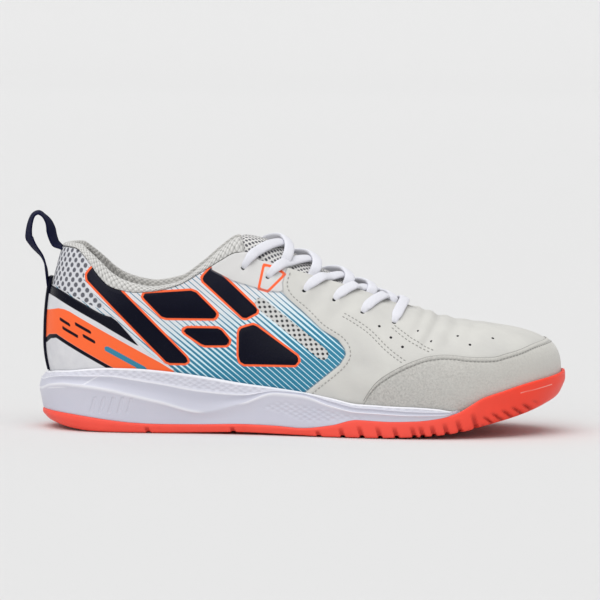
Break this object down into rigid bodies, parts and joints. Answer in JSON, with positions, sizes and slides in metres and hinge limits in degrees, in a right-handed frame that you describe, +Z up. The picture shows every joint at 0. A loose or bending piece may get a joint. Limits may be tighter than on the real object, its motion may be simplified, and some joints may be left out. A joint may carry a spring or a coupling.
{
  "type": "indoor soccer shoe",
  "caption": "Low indoor soccer shoe for the right foot with a flat lugged rubber sole, foam midsole, leather and mesh upper, padded tongue and crossed laces.",
  "frame": {"origin": "centre of the underside of the bounding box, on the floor", "axes": "+X to the toe, +Y to the inner side of the foot, +Z up"},
  "size_m": [0.2966, 0.1046, 0.118],
  "materials": {
    "outsole": "satin",
    "midsole": "matt foam",
    "insole": "matt",
    "upper": "satin",
    "tongue": "matt",
    "collar_cuff": "matt knit",
    "toe_cap": "suede",
    "heel_counter": "satin film",
    "heel_tape": "gloss film",
    "pull_loop": "matt webbing",
    "lace": "matt weave"
  },
  "bodies": {
    "root": {"outsole": "outsole", "midsole": "midsole", "insole": "insole", "upper": "upper", "tongue": "tongue", "collar_cuff": "collar_cuff", "toe_cap": "toe_cap", "heel_counter": "heel_counter", "heel_tape": "heel_tape", "pull_loop": "pull_loop", "lace_bar": "lace", "lace_cross_1": "lace", "lace_cross_2": "lace", "lace_cross_3": "lace", "lace_cross_4": "lace", "lace_cross_5": "lace"}
  },
  "joints": []
}
